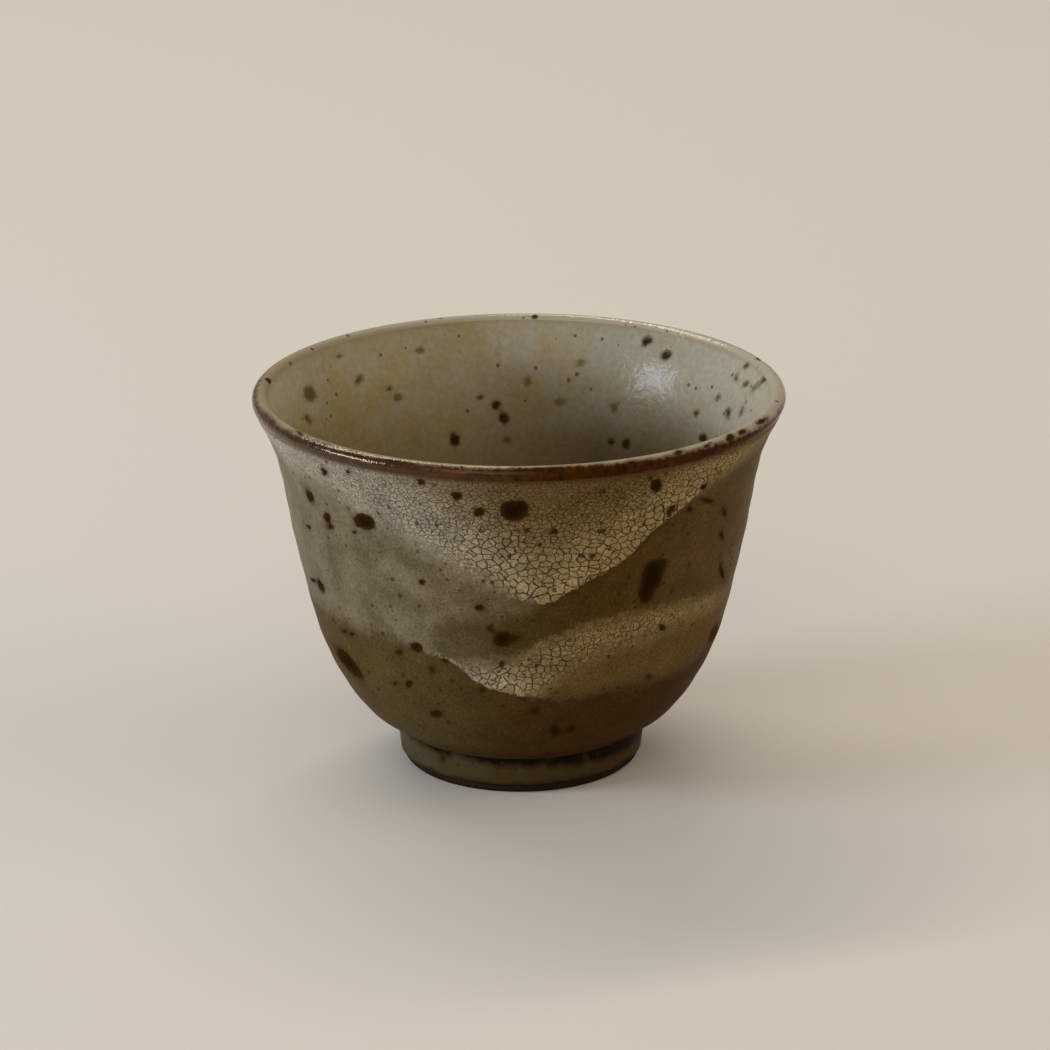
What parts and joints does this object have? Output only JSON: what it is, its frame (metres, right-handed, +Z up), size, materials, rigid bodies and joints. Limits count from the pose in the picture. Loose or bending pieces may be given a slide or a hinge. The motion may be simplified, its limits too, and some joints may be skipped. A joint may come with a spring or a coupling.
{
  "type": "japanese teacup",
  "caption": "Small handleless stoneware teacup with a flared lip, a low foot ring, speckled ash glaze, a brown lip band and sweeps of white crackle glaze.",
  "frame": {"origin": "on the table under the middle of the foot ring", "axes": "+Z up along the axis the cup was thrown on; the front, with the sweeps of crackle glaze in the picture, faces -Y"},
  "size_m": [0.085, 0.085, 0.062],
  "materials": {
    "bowl_clay": "matte",
    "foot_clay": "matte",
    "outer_ash_glaze": "satin",
    "inner_ash_glaze": "gloss",
    "iron_lip_glaze": "gloss",
    "foot_ash_glaze": "satin",
    "crackle_glaze": "satin"
  },
  "bodies": {
    "root": {"bowl_wall": "bowl_clay", "bowl_floor": "bowl_clay", "foot_ring": "foot_clay", "outer_glaze": "outer_ash_glaze", "inner_glaze": "inner_ash_glaze", "lip_band": "iron_lip_glaze", "foot_glaze": "foot_ash_glaze", "upper_front_pour": "crackle_glaze", "lower_front_pour": "crackle_glaze", "upper_back_pour": "crackle_glaze", "lower_back_pour": "crackle_glaze"}
  },
  "joints": []
}
